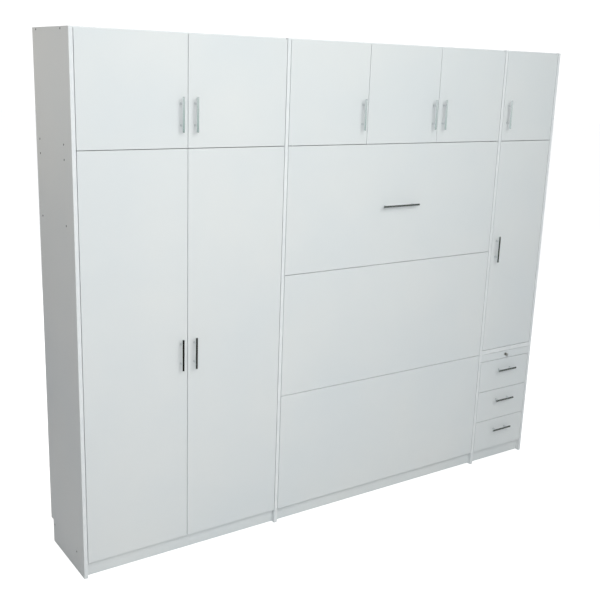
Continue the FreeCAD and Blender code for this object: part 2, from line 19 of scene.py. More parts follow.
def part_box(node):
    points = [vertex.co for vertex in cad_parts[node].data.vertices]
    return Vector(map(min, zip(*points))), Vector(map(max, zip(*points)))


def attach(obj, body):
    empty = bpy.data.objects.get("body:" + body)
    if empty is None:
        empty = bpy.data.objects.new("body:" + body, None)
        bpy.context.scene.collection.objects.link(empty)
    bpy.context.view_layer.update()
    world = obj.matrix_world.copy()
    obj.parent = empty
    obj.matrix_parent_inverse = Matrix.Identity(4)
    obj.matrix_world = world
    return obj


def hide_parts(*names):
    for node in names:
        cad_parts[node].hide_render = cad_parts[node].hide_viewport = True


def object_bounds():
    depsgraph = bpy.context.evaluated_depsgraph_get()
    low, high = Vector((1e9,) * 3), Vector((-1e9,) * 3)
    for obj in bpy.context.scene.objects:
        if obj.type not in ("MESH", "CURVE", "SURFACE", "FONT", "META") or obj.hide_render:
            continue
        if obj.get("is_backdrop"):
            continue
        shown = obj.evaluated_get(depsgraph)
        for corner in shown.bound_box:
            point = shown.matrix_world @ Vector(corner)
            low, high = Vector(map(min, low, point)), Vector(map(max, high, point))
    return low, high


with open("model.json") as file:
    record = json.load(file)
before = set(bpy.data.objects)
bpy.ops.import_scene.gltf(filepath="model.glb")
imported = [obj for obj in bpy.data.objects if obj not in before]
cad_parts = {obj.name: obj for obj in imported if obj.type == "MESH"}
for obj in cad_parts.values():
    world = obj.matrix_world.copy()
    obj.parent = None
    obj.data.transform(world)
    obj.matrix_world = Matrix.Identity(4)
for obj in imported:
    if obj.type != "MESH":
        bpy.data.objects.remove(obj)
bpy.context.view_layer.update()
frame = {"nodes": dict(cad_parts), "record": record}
MM = 0.001
bodies = frame["record"]["behaviour"]["bodies"]
body_of = {name: body for body, names in bodies.items() for name in names}
unit_low, unit_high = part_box("lower_uprights")
front_y = unit_low.y

# %% [markdown]
# ## Camera
#
# A camera is placed by its lens and by where it looks from.  The unit is seen from the left and from
# above eye level, so its left side and its whole front show.  The lens is 53.6 mm on a 36 mm sensor,
# close to a normal lens, so the upright edges lean only a little.

# %% camera
camera_data = bpy.data.cameras.new("camera")
camera_data.lens = 53.64
camera_data.sensor_width = 36.0
camera = bpy.data.objects.new("camera", camera_data)
bpy.context.scene.collection.objects.link(camera)
camera_right = Vector((0.82656, -0.56184, 0.03380))
camera_up = Vector((0.11422, 0.22624, 0.96735))
camera_back = Vector((-0.55114, -0.79571, 0.25117))
eye = Vector((unit_low.x - 1.3438, front_y - 3.6542, 2.3858))
turn = Matrix((camera_right, camera_up, camera_back)).transposed().to_4x4()
camera.matrix_world = Matrix.Translation(eye) @ turn
bpy.context.scene.camera = camera
print("camera at", [round(v, 2) for v in eye])

# %% [markdown]
# ## Floor and light
#
# Two soft lights share the front: a large one high above the middle, and one near the camera, which
# looks into the gaps and keeps the handles' shadows behind them.  The left side is in shade.  Weak
# lights at both sides and behind keep the other faces readable, and the sky fills the rest.
#
# Chrome shows what stands around it.  A showroom is bright at head height and dark near the floor
# and the ceiling, so for glossy rays the sky is light in a band at the horizon and dark elsewhere,
# and the floor is hidden from them.  High handles then look light and low ones dark.  To the camera
# alone the floor is lifted to white; it lights the unit only as much as a pale floor would.

# %% helpers for colour and shader nodes
def linear(hex_code):
    """An sRGB hex colour as the linear values that shaders expect."""
    channels = [int(hex_code[i:i + 2], 16) / 255 for i in (1, 3, 5)]
    curve = [c / 12.92 if c <= 0.04045 else ((c + 0.055) / 1.055) ** 2.4 for c in channels]
    return (*curve, 1.0)


def add_node(tree, kind, settings=None, links=None):
    """Adds a node; settings are its attributes or input values, links go from outputs to inputs."""
    made = tree.nodes.new("ShaderNode" + kind)
    for key, value in (settings or {}).items():
        if isinstance(key, str) and hasattr(made, key):
            setattr(made, key, value)
        else:
            made.inputs[key].default_value = value
    for key, output in (links or {}).items():
        tree.links.new(output, made.inputs[key])
    return made


def ramp(tree, value, stops):
    """A colour ramp over (position, hex colour) stops."""
    made = add_node(tree, "ValToRGB", links={"Fac": value})
    while len(made.color_ramp.elements) < len(stops):
        made.color_ramp.elements.new(0.5)
    for element, (position, colour) in zip(made.color_ramp.elements, stops):
        element.position = position
        element.color = linear(colour)
    return made.outputs["Color"]


# %% sky, with its own look for the camera and for glossy rays
world = bpy.data.worlds.new("sky")
bpy.context.scene.world = world
world.use_nodes = True
sky = world.node_tree
sky.nodes.clear()
ray = add_node(sky, "LightPath")
way = add_node(sky, "TexCoord")
split = add_node(sky, "SeparateXYZ", links={"Vector": way.outputs["Generated"]})
height = add_node(sky, "MapRange", {"From Min": -1.0, "From Max": 1.0},
                  {"Value": split.outputs["Z"]})
room = ramp(sky, height.outputs["Result"],
            [(0.0, "#14110C"), (0.38, "#1C1912"), (0.44, "#56625A"), (0.468, "#C6DAD6"),
             (0.49, "#F2F8F7"), (0.53, "#E8EEEC"), (0.58, "#55564A"), (0.66, "#2E2D22"),
             (1.0, "#3A392C")])
fill_light = add_node(sky, "Background", {"Color": linear("#F6FAFF"), "Strength": 0.38})
mirrored = add_node(sky, "Background", {"Strength": 0.85}, {"Color": room})
seen = add_node(sky, "Background", {"Color": linear("#FFFFFF"), "Strength": 1.1})
glossy = add_node(sky, "MixShader", links={0: ray.outputs["Is Glossy Ray"],
                                           1: fill_light.outputs[0], 2: mirrored.outputs[0]})
final = add_node(sky, "MixShader", links={0: ray.outputs["Is Camera Ray"],
                                          1: glossy.outputs[0], 2: seen.outputs[0]})
add_node(sky, "OutputWorld", links={"Surface": final.outputs[0]})
bpy.context.scene.view_settings.view_transform = "Standard"
print("sky strength", fill_light.inputs["Strength"].default_value)

# %% floor and lights
FLOOR_SIZE = 80.0
FLOOR_LIFT = 0.72
bpy.ops.object.select_all(action="DESELECT")
bpy.ops.mesh.primitive_plane_add(size=FLOOR_SIZE, location=(0, 0, 0))
floor = bpy.context.active_object
floor.name = "floor"
floor_paint = bpy.data.materials.new("pale_floor")
floor_paint.use_nodes = True
floor_tree = floor_paint.node_tree
floor_shader = floor_tree.nodes["Principled BSDF"]
floor_shader.inputs["Base Color"].default_value = linear("#EDEDEC")
floor_shader.inputs["Roughness"].default_value = 0.95
floor_shader.inputs["Emission Color"].default_value = linear("#FFFFFF")
first_look = add_node(floor_tree, "LightPath")
lift = add_node(floor_tree, "Math", {"operation": "MULTIPLY", 1: FLOOR_LIFT},
                {0: first_look.outputs["Is Camera Ray"]})
floor_tree.links.new(lift.outputs["Value"], floor_shader.inputs["Emission Strength"])
floor.data.materials.append(floor_paint)
floor.visible_glossy = False
floor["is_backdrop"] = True


def soft_light(name, location, target, size, power, spread=180, tint="#FFFFFF"):
    """A square area light that faces its target; spread is the width of its beam in degrees."""
    data = bpy.data.lights.new(name, "AREA")
    data.shape = "SQUARE"
    data.size = size
    data.energy = power
    data.spread = math.radians(spread)
    data.color = linear(tint)[:3]
    light = bpy.data.objects.new(name, data)
    bpy.context.scene.collection.objects.link(light)
    light.location = location
    light.rotation_euler = (Vector(target) - Vector(location)).to_track_quat("-Z", "Y").to_euler()
    light.visible_glossy = False
    return light


lights = [
    soft_light("key_light", (-0.1, front_y - 4.0, 4.4), (-0.1, 0, 2.2), 3.0, 46, 120, "#FAFFFA"),
    soft_light("side_light", (unit_low.x - 2.4, 0.5, 3.6), (unit_low.x, 0.1, 2.1), 1.2, 5, 100,
               "#FFEBD2"),
    soft_light("front_light", eye + Vector((0.5, -0.1, 0.5)), (0.2, 0, 1.3), 1.6, 54),
    soft_light("right_light", (unit_high.x + 2.6, 0.9, 2.6), (unit_high.x, 0.1, 1.3), 1.6, 15),
    soft_light("back_light", (0.8, 4.5, 3.4), (0, 0.2, 1.2), 2.5, 90),
]
print("lights:", [(light.name, light.data.energy) for light in lights])

# %% [markdown]
# ## White melamine board
#
# The boards are chipboard faced with melamine, a hard resin paper pressed against a finely pearled
# steel sheet.  The eye sees an even, cool white with a satin gloss and a fine pearl in the
# highlights.  Noise at 2 mm drives the bump, coarser than the real half millimetre so that it shows,
# and slow noise moves the white and the gloss a little, as no sheet is quite even and as hands have
# wiped it.  The edges are ABS strip, glossier, with faint lines along the strip from the extruder.
# Their colour is a shade whiter than the faces.  This is partly the strip's own tone and partly
# painted light for the brighter light that the front edges catch.  The rear edges, which no one sees,
# were left as bare chipboard.

# %% board materials
def new_material(name, roughness=0.5, metallic=0.0):
    """An empty material; returns it with its tree and its shader."""
    material = bpy.data.materials.new(name)
    material.use_nodes = True
    shader = material.node_tree.nodes["Principled BSDF"]
    shader.inputs["Roughness"].default_value = roughness
    shader.inputs["Metallic"].default_value = metallic
    return material, material.node_tree, shader


def object_place(tree):
    """Places in the object's own metres, the same on every piece and from every side."""
    return add_node(tree, "TexCoord").outputs["Object"]


def noise(tree, size_mm, detail=2.0, stretch=(1, 1, 1)):
    """Noise with features of a real size; stretch lengthens them along an axis."""
    scaled = add_node(tree, "Mapping", {"Scale": tuple(1 / s for s in stretch)},
                      {"Vector": object_place(tree)})
    made = add_node(tree, "TexNoise", {"Scale": 1000 / size_mm, "Detail": detail},
                    {"Vector": scaled.outputs["Vector"]})
    return made.outputs["Fac"]


def stripes(tree, direction, turn_mm):
    """Soft stripes across a direction.  The node turns 20 radians in its unit, so they repeat after
    two pi times the given size."""
    made = add_node(tree, "TexWave", {"bands_direction": direction, "Scale": 1000 / (20 * turn_mm)},
                    {"Vector": object_place(tree)})
    return made.outputs["Fac"]


def product(tree, first, second):
    return add_node(tree, "Math", {"operation": "MULTIPLY"}, {0: first, 1: second}).outputs["Value"]


def add_bump(tree, shader, height, depth_mm, strength):
    """Raises the surface by a height map."""
    made = add_node(tree, "Bump", {"Strength": strength, "Distance": depth_mm * MM},
                    {"Height": height})
    tree.links.new(made.outputs["Normal"], shader.inputs["Normal"])


def tint(tree, shader, value, stops):
    """Colours a surface by a pattern."""
    tree.links.new(ramp(tree, value, stops), shader.inputs["Base Color"])


def vary_roughness(tree, shader, value, low, high):
    """Lets a pattern move the gloss between two limits."""
    made = add_node(tree, "MapRange", {"To Min": low, "To Max": high}, {"Value": value})
    tree.links.new(made.outputs["Result"], shader.inputs["Roughness"])


def melamine_board():
    material, tree, shader = new_material("white_melamine_board")
    slow = noise(tree, 520, 3.0)
    tint(tree, shader, slow, [(0.3, "#E3E7E9"), (0.7, "#E8EAEA")])
    vary_roughness(tree, shader, noise(tree, 160, 4.0), 0.36, 0.47)
    add_bump(tree, shader, noise(tree, 2.0), 0.05, 0.35)
    return material


def abs_edging():
    material, tree, shader = new_material("white_abs_edging")
    drawn = noise(tree, 1.6, 2.0, stretch=(30, 1, 30))
    # A shade whiter than the board: partly the strip's own tone, partly painted light for the light the
    # edges catch.
    tint(tree, shader, drawn, [(0.3, "#EAEDEF"), (0.7, "#F1F3F4")])
    vary_roughness(tree, shader, drawn, 0.26, 0.36)
    add_bump(tree, shader, drawn, 0.03, 0.25)
    return material


def bare_chipboard():
    material, tree, shader = new_material("bare_chipboard_edge", 0.85)
    chips = noise(tree, 5.0, 5.0)
    tint(tree, shader, chips, [(0.25, "#7D6142"), (0.45, "#B08F66"), (0.6, "#C9AB80"), (0.8, "#DCC59E")])
    add_bump(tree, shader, chips, 0.8, 0.6)
    return material


melamine = melamine_board()
edging = abs_edging()
chipboard = bare_chipboard()
print("board materials:", melamine.name, edging.name, chipboard.name)

# %% [markdown]
# ## Boards with eased edges
#
# A CAD board has perfectly sharp edges, and light never catches them.  A real one has a rounding of
# about a millimetre where the edging was trimmed.  The board could be modelled again, but its notch
# and its drilled holes are already right in the CAD mesh, so a copy of that mesh is merged into one
# skin, its flat triangles are dissolved, and a bevel modifier eases every sharp edge.

# %% helpers that work on meshes
def edit_mode():
    bpy.ops.object.mode_set(mode="EDIT")


def object_mode():
    bpy.ops.object.mode_set(mode="OBJECT")


def only(item):
    """Operators act on all that is selected, so this selects one object and nothing else."""
    bpy.ops.object.select_all(action="DESELECT")
    item.select_set(True)
    bpy.context.view_layer.objects.active = item
    return item


def apply_modifier(item, kind, **settings):
    """Adds a modifier, sets it and applies it to the mesh."""
    only(item)
    modifier = item.modifiers.new(kind.lower(), kind)
    for key, value in settings.items():
        setattr(modifier, key, value)
    bpy.ops.object.modifier_apply(modifier=modifier.name)
    return item


def ease(item, width_mm, segments=2, angle=40):
    """Rounds the sharp edges and smooths the shading, with flat faces kept flat."""
    apply_modifier(item, "BEVEL", width=width_mm * MM, segments=segments, limit_method="ANGLE",
                   angle_limit=math.radians(angle), use_clamp_overlap=True)
    only(item)
    bpy.ops.object.shade_smooth_by_angle(angle=math.radians(46))
    return apply_modifier(item, "WEIGHTED_NORMAL", keep_sharp=True)


def loose_parts(piece):
    """Splits a mesh into its separate solids and returns them all."""
    only(piece)
    edit_mode()
    bpy.ops.mesh.select_all(action="SELECT")
    bpy.ops.mesh.separate(type="LOOSE")
    object_mode()
    return list(bpy.context.selected_objects)


def merged_copy(node_name, piece_name):
    """A copy of a CAD node's mesh, merged and with its flat triangles dissolved."""
    piece = bpy.data.objects.new(piece_name, frame["nodes"][node_name].data.copy())
    bpy.context.scene.collection.objects.link(piece)
    piece.data.name = piece_name
    only(piece)
    bpy.ops.mesh.customdata_custom_splitnormals_clear()
    edit_mode()
    bpy.ops.mesh.select_all(action="SELECT")
    bpy.ops.mesh.remove_doubles(threshold=0.00001)
    bpy.ops.mesh.dissolve_limited(angle_limit=math.radians(0.5))
    object_mode()
    return piece


def coat(piece, *materials):
    """Gives a piece its materials, in the order of its faces' material numbers."""
    piece.data.materials.clear()
    for material in materials:
        piece.data.materials.append(material)
    return piece


def stand_for(piece, *node_names):
    """The piece rides where these CAD nodes ride, and hides them."""
    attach(piece, body_of[node_names[0]])
    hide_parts(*node_names)
    return piece


def add_to(piece, node_name, slot=None):
    """The piece rides with a CAD node and hides nothing."""
    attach(piece, body_of[node_name])
    return piece


# %% boards from merged copies
BOARD_EASE_MM = 0.7
LOCK_RAIL_GAP = 2.0 * MM     # the joint above the lock rail, which shows as a dark line


def finish_boards(node_name):
    """Wide faces are melamine, narrow ones edging, and rear edges bare chipboard."""
    piece = merged_copy(node_name, node_name + "_board")
    loose = loose_parts(piece)
    for board in loose:
        coat(board, melamine, edging, chipboard)
        size = board.dimensions
        thin = min(range(3), key=lambda axis: size[axis])
        for face in board.data.polygons:
            if abs(face.normal[thin]) > 0.9:
                face.material_index = 0
            else:
                face.material_index = 2 if face.normal.y > 0.9 else 1
    for board in loose:
        board.select_set(True)
    bpy.context.view_layer.objects.active = piece
    if len(loose) > 1:
        bpy.ops.object.join()
    if node_name == "lock_rail":
        top = max(vertex.co.z for vertex in piece.data.vertices)
        for vertex in piece.data.vertices:
            if vertex.co.z > top - MM:
                vertex.co.z -= LOCK_RAIL_GAP
    ease(piece, BOARD_EASE_MM)
    return stand_for(piece, node_name)


door_names = ["wardrobe_door_left", "wardrobe_door_right", "upper_wardrobe_door_left",
              "upper_wardrobe_door_right", "upper_bed_door_left", "upper_bed_door_centre",
              "upper_bed_door_right", "column_door", "upper_column_door"]
drawer_names = ["drawer_top", "drawer_middle", "drawer_bottom"]
board_names = ["lower_uprights", "upper_uprights", "lower_boards", "upper_boards", "shelves",
               "drawer_unit_top", "plinth_boards", "lock_rail", "bed_face_panels", "mattress_foot_board"]
board_names += door_names + [name + "_front" for name in drawer_names]
boards = {name: finish_boards(name) for name in board_names}
print(len(boards), "board pieces,", sum(len(b.data.polygons) for b in boards.values()), "faces")

# %% [markdown]
# ## Metal finishes
#
# Each finish is named for what the maker would order.  Bar handles are polished chrome: nearly
# mirror smooth, with hair-fine wiping scratches.  Hinges are nickel plated, and the lock is a duller
# satin nickel.  Runners and plates are zinc plated: pale and a little cloudy.  The carcass screws
# are dark plated.  The bed's frame is grey powder coat, which melts into a fine orange peel, and the
# spring cylinders are black enamel with bright rods.

# %% metal materials
def metal(name, hex_code, low, high, grain_mm, stretch=(1, 1, 1), depth_mm=0.01):
    """A metal whose gloss varies with its grain."""
    material, tree, shader = new_material(name, metallic=1.0)
    shader.inputs["Base Color"].default_value = linear(hex_code)
    grain = noise(tree, grain_mm, 3.0, stretch)
    vary_roughness(tree, shader, grain, low, high)
    add_bump(tree, shader, grain, depth_mm, 0.3)
    return material


def grained(name, dark, light, grain_mm, low, high, patch_mm=90, details=(3.0, 2.0), depth_mm=0.12):
    """A coat or a moulding: slow patches of tone, and a fine grain that moves gloss and bump."""
    material, tree, shader = new_material(name)
    tint(tree, shader, noise(tree, patch_mm, details[0]), [(0.3, dark), (0.7, light)])
    grain = noise(tree, grain_mm, details[1])
    vary_roughness(tree, shader, grain, low, high)
    add_bump(tree, shader, grain, depth_mm, 0.5)
    return material


chrome = metal("polished_chrome", "#E6E9EA", 0.05, 0.13, 3.0, (1, 1, 12))
nickel = metal("nickel_plated_steel", "#C9C7C1", 0.22, 0.34, 4.0, depth_mm=0.02)
satin = metal("satin_nickel_lock", "#E2E1DC", 0.48, 0.6, 2.0)
zinc = metal("zinc_plated_steel", "#B9BDC2", 0.28, 0.5, 9.0, depth_mm=0.03)
dark_zinc = metal("dark_plated_screw_steel", "#17161B", 0.45, 0.6, 1.5)
grey_coat = grained("grey_powder_coat", "#85898C", "#8E9295", 2.5, 0.42, 0.56)
black_enamel = grained("black_enamel", "#0F1011", "#17181A", 6.0, 0.18, 0.26)
print("7 metal finishes")

# %% [markdown]
# ## Blocks and rods
#
# Most fittings start as a block between two corners or a rod between two points.  Both helpers add a
# primitive, apply its place to its mesh, and ease its edges, because a machined edge is never sharp.

# %% helpers for new shapes
def settle(item, name=None):
    """Puts an object's place, turn and size into its mesh."""
    only(item)
    bpy.ops.object.transform_apply(location=True, rotation=True, scale=True)
    if name:
        item.name = name
        item.data.name = name
    return item


def block(low, high, edge_mm=0.5, segments=2):
    """A block between two corners, with eased edges."""
    bpy.ops.object.select_all(action="DESELECT")
    low, high = Vector(low), Vector(high)
    bpy.ops.mesh.primitive_cube_add(size=1, location=(low + high) / 2)
    item = bpy.context.active_object
    item.scale = high - low
    settle(item)
    if edge_mm:
        apply_modifier(item, "BEVEL", width=edge_mm * MM, segments=segments, limit_method="ANGLE")
    return item


def rod(start, end, radius, sides=24, edge_mm=0.4):
    """A rod between two points, with chamfered ends."""
    bpy.ops.object.select_all(action="DESELECT")
    start, end = Vector(start), Vector(end)
    along = end - start
    bpy.ops.mesh.primitive_cylinder_add(vertices=sides, radius=radius, depth=along.length,
                                        location=(start + end) / 2,
                                        rotation=along.to_track_quat("Z", "Y").to_euler())
    item = settle(bpy.context.active_object)
    if edge_mm:
        apply_modifier(item, "BEVEL", width=edge_mm * MM, segments=2, limit_method="ANGLE",
                       angle_limit=math.radians(60))
    return item


def cut(item, tool):
    """Cuts one shape out of another and removes the tool."""
    apply_modifier(item, "BOOLEAN", operation="DIFFERENCE", object=tool, solver="EXACT")
    bpy.data.objects.remove(tool)
    return item


def copied(item, move=(0, 0, 0), turn=None):
    """A copy with its own mesh, turned about the origin and then moved."""
    made = bpy.data.objects.new(item.name, item.data.copy())
    bpy.context.scene.collection.objects.link(made)
    matrix = Matrix.Translation(Vector(move))
    if turn is not None:
        matrix = matrix @ turn
    made.data.transform(matrix)
    if matrix.determinant() < 0:
        made.data.flip_normals()
    return made


def joined(name, items):
    """One piece from several, smoothed, with flat faces kept flat."""
    only(items[0])
    for item in items:
        item.select_set(True)
    if len(items) > 1:
        bpy.ops.object.join()
    piece = items[0]
    piece.name = name
    piece.data.name = name
    only(piece)
    bpy.ops.object.shade_smooth_by_angle(angle=math.radians(40))
    return apply_modifier(piece, "WEIGHTED_NORMAL", keep_sharp=True)


patterns = []


def keep_pattern(item):
    """A master that copies are taken from; all of them are removed near the end."""
    item.hide_render = True
    patterns.append(item)
    return item


print("shape helpers ready")

# %% [markdown]
# ## Screws
#
# A cross recess is what tells a screw head from a rivet at a glance.  The head is a short rod with a
# cross cut into it by a boolean, modelled once for each size, facing -Y, and copied to every hole.
# The carcass screws are dark plated and sit just below the board's face, so they show as dark dots.

# %% screw heads
def cross_head(radius, depth):
    """A countersunk head with a cross recess; its face is at the origin and looks along -Y."""
    head = rod((0, 0, 0), (0, depth, 0), radius, 20, 0.3)
    arm, wing = radius * 0.16, radius * 0.62
    upright = block((-arm, -0.001, -wing), (arm, depth * 0.6, wing), 0)
    across = block((-wing, -0.001, -arm), (wing, depth * 0.6, arm), 0)
    return cut(cut(head, upright), across)


screw_head = keep_pattern(cross_head(3.6 * MM, 2.2 * MM))
carcass_head = keep_pattern(cross_head(4.95 * MM, 2.0 * MM))
pan_head = keep_pattern(cross_head(4.2 * MM, 1.9 * MM))
SCREW_SINK = 0.6 * MM
SHANK_START, SHANK_END, SHANK_RADIUS = 2.5 * MM, 50 * MM, 2.2 * MM
heads = []
for shank in loose_parts(merged_copy("carcass_screws", "screw_places")):
    corners = [Vector(corner) for corner in shank.bound_box]
    middle = sum(corners, Vector()) / 8
    side = -1 if middle.x < 0 else 1
    outer = min(c.x for c in corners) if side < 0 else max(c.x for c in corners)
    facing_out = Matrix.Rotation(side * math.pi / 2, 4, "Z")
    heads.append(copied(carcass_head, (outer - side * SCREW_SINK, middle.y, middle.z), facing_out))
    heads.append(rod((outer - side * SHANK_START, middle.y, middle.z),
                     (outer - side * SHANK_END, middle.y, middle.z), SHANK_RADIUS, 10, 0))
    bpy.data.objects.remove(shank)
screws = coat(joined("carcass_screw_set", heads), dark_zinc)
stand_for(screws, "carcass_screws")
print("screws:", len(heads) // 2)

# %% [markdown]
# ## Bar handles
#
# Each handle is a bar on two posts.  The bar's ends are chamfered and the posts have a fine groove
# where they were turned down to sit on the door.  One handle is modelled at the origin, its feet on
# the plane y = 0, and copied to every front; the bed's own is the longer one.  From behind, a screw
# with a pan head goes through the door into each post.

# %% one bar handle
BAR_RADIUS = 6.0 * MM
POST_RADIUS = 5.0 * MM
handle_low, handle_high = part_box("bed_handle")
HANDLE_REACH = handle_high.y - handle_low.y
SMALL_BAR, SMALL_CENTRES = 156.0 * MM, 96.0 * MM
LARGE_BAR, LARGE_CENTRES = 252.0 * MM, 192.0 * MM


def bar_handle(length, centres):
    """Built along Z with its feet at y = 0."""
    bar_y = BAR_RADIUS - HANDLE_REACH
    parts = [rod((0, bar_y, -length / 2), (0, bar_y, length / 2), BAR_RADIUS, 40, 0.9)]
    for end in (-centres / 2, centres / 2):
        parts.append(rod((0, bar_y, end), (0, -1.6 * MM, end), POST_RADIUS, 32, 0.3))
        parts.append(rod((0, -2.0 * MM, end), (0, -0.8 * MM, end), POST_RADIUS - 0.5 * MM, 32, 0))
        parts.append(rod((0, -1.0 * MM, end), (0, 0, end), POST_RADIUS, 32, 0.2))
    return coat(joined("bar_handle", parts), chrome)


small_handle = keep_pattern(bar_handle(SMALL_BAR, SMALL_CENTRES))
large_handle = keep_pattern(bar_handle(LARGE_BAR, LARGE_CENTRES))
print("handle faces:", len(small_handle.data.polygons))

# %% [markdown]
# ## Concealed hinges
#
# The cup is a dish sunk into the door's back, with a rim and a flange that two screws hold.  The arm
# is a channel on a plate with two wings.  Each is modelled once and copied; the arm is made for the
# left side of a bay and mirrored for the right.

# %% one hinge cup, with its flange and two screws
CUP_RADIUS = 17.5 * MM
CUP_DEPTH = 12.0 * MM
CUP_WALL = 1.2 * MM
FLANGE, FLANGE_HALF_WIDTH, FLANGE_HALF_LENGTH = 1.2 * MM, 9 * MM, 31 * MM
FLANGE_ROUNDING, FLANGE_SCREW = 6 * MM, 24 * MM
DOOR_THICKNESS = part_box("column_door")[1].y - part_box("column_door")[0].y


def hinge_cup():
    """Centred on the origin in X and Z; the flange lies on the door's back."""
    back = DOOR_THICKNESS
    face = back + FLANGE
    flange = block((-FLANGE_HALF_WIDTH, back, -FLANGE_HALF_LENGTH),
                   (FLANGE_HALF_WIDTH, face, FLANGE_HALF_LENGTH), 0)
    only(flange)
    edit_mode()
    bpy.ops.mesh.select_all(action="SELECT")
    bpy.ops.mesh.bevel(offset=FLANGE_ROUNDING, segments=5)
    object_mode()
    rim = rod((0, back, 0), (0, face, 0), CUP_RADIUS + CUP_WALL, 40, 0.4)
    deep = back - CUP_DEPTH
    dish = rod((0, deep + 0.3 * MM, 0), (0, back + 0.6 * MM, 0), CUP_RADIUS - 0.2 * MM, 40, 0.8)
    room = rod((0, deep + 2 * MM, 0), (0, back + 4 * MM, 0), CUP_RADIUS - 1.4 * MM, 40, 0)
    second, third = copied(room), copied(room)
    parts = [cut(flange, third), cut(rim, room), cut(dish, second)]
    facing_in = Matrix.Rotation(math.pi, 4, "Z")
    for z in (-FLANGE_SCREW, FLANGE_SCREW):
        parts.append(copied(screw_head, (0, back + 2.0 * MM, z), facing_in))
    return coat(joined("hinge_cup", parts), nickel)


cup = keep_pattern(hinge_cup())
print("cup faces:", len(cup.data.polygons))

# %% hinge arm on its mounting plate
ARM_LENGTH = 58 * MM
PLATE_THICKNESS = 2.5 * MM
PLATE_HALF = 8 * MM          # half the plate's height, which its wings reach too
ARM_HALF, ARM_TOP, ARM_SHEET = 6.5 * MM, 12 * MM, 1.6 * MM


def hinge_arm():
    """On the left side of a bay: the plate lies on x = 0, and the arm points to the front."""
    plate = block((0, 10 * MM, -PLATE_HALF), (PLATE_THICKNESS, ARM_LENGTH, PLATE_HALF), 0.6)
    wings = [block((0, 24 * MM, low), (3 * MM, 40 * MM, low + 5 * MM), 0.6)
             for low in (-PLATE_HALF, PLATE_HALF - 5 * MM)]
    arm = block((PLATE_THICKNESS, 0, -ARM_HALF), (ARM_TOP, ARM_LENGTH - 4 * MM, ARM_HALF), 1.2)
    cut(arm, block((1 * MM, -2 * MM, -5 * MM), (ARM_TOP - ARM_SHEET, ARM_LENGTH, 5 * MM), 0))
    sideways = Matrix.Rotation(math.pi / 2, 4, "Z")
    screws = [copied(screw_head, (ARM_TOP + 0.3 * MM, y, 0), sideways) for y in (20 * MM, 40 * MM)]
    return coat(joined("hinge_arm", [plate, *wings, arm, *screws]), nickel)


arm_pattern = keep_pattern(hinge_arm())
print("arm faces:", len(arm_pattern.data.polygons))

# %% [markdown]
# ## Fittings in their places
#
# Every door has a handle near its free edge and from two to four hinges along the other one.  The
# handle stands for all of the door's CAD fittings, and the other pieces ride with it.

# %% place the fittings of every door
DOOR_GAP = 3.0 * MM
UPRIGHT_OVERLAP = 9.0 * MM   # from a gap's middle to the face of the upright behind it
HANDLE_INSET = 34.0 * MM
UPPER_HANDLE_RISE = 149.0 * MM
CUP_EDGE = 22.5 * MM
HINGE_END = 100.0 * MM
PLATE_SETBACK = 24.0 * MM
hinge_side = {"wardrobe_door_left": -1, "upper_wardrobe_door_left": -1, "upper_bed_door_left": -1,
              "upper_bed_door_centre": -1}
mirror_x = Matrix.Scale(-1, 4, (1, 0, 0))
turned = Matrix.Rotation(math.pi, 4, "Z")
arms = []
for name in door_names:
    low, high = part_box(name)
    side = hinge_side.get(name, 1)
    hinge_x = high.x if side > 0 else low.x
    free_x = low.x if side > 0 else high.x
    handle_z = low.z + UPPER_HANDLE_RISE if name.startswith("upper") else (low.z + high.z) / 2
    handle_x = free_x + side * HANDLE_INSET
    handle = copied(small_handle, (handle_x, front_y, handle_z))
    handle.name = name + "_bar_handle"
    stand_for(handle, name + "_fittings")
    backs = [copied(pan_head, (handle_x, front_y + DOOR_THICKNESS + 1.7 * MM, handle_z + end), turned)
             for end in (-SMALL_CENTRES / 2, SMALL_CENTRES / 2)]
    add_to(coat(joined(name + "_handle_screws", backs), zinc), name + "_fittings", "plated_steel")
    count = 4 if high.z - low.z > 1.5 else 3 if high.z - low.z > 1.0 else 2
    reach = high.z - low.z - 2 * HINGE_END
    levels = [low.z + HINGE_END + reach * i / (count - 1) for i in range(count)]
    cups = [copied(cup, (hinge_x - side * CUP_EDGE, front_y, z)) for z in levels]
    add_to(coat(joined(name + "_hinge_cups", cups), nickel), name + "_fittings", "plated_steel")
    wall_x = hinge_x + side * DOOR_GAP
    if name == "upper_bed_door_centre":
        wall_x = hinge_x - DOOR_GAP / 2 + UPRIGHT_OVERLAP
    turn = mirror_x if side > 0 else None
    arms += [copied(arm_pattern, (wall_x, front_y + PLATE_SETBACK, z), turn) for z in levels]
stand_for(coat(joined("hinge_arms", arms), nickel), "hinge_plates")
print(len(arms), "hinges placed")

# %% handles of the drawers and the bed
across = Matrix.Rotation(math.pi / 2, 4, "Y")
for name in drawer_names + ["bed"]:
    low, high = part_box(name + "_handle")
    pattern = large_handle if name == "bed" else small_handle
    handle = copied(pattern, ((low.x + high.x) / 2, front_y, (low.z + high.z) / 2), across)
    handle.name = name + "_bar_handle"
    stand_for(handle, name + "_handle")
print("handles placed")

# %% [markdown]
# ## Drawers
#
# A drawer is a four-sided box with a thin bottom let into a groove, a front screwed on, and a steel
# member on each side that runs in the cabinet's channel.  The sides are 12 mm board with an edging
# strip on top.  They are built from blocks, because the CAD solids touch and would merge into one
# skin.

# %% drawer boxes
RUNNER_BAR = 5.95 * MM
RUNNER_HALF_HEIGHT = 10 * MM
RUNNER_SETBACK = 8 * MM
DRAWER_SIDE = 12.0 * MM
BOTTOM_RISE, BOTTOM_TOP = 8 * MM, 12 * MM    # the bottom's two faces above the sides' lower edge


def top_edging(item):
    """Melamine on the upright faces, edging on the upper and lower edges."""
    coat(item, melamine, edging)
    for face in item.data.polygons:
        face.material_index = 1 if abs(face.normal.z) > 0.7 else 0
    return item


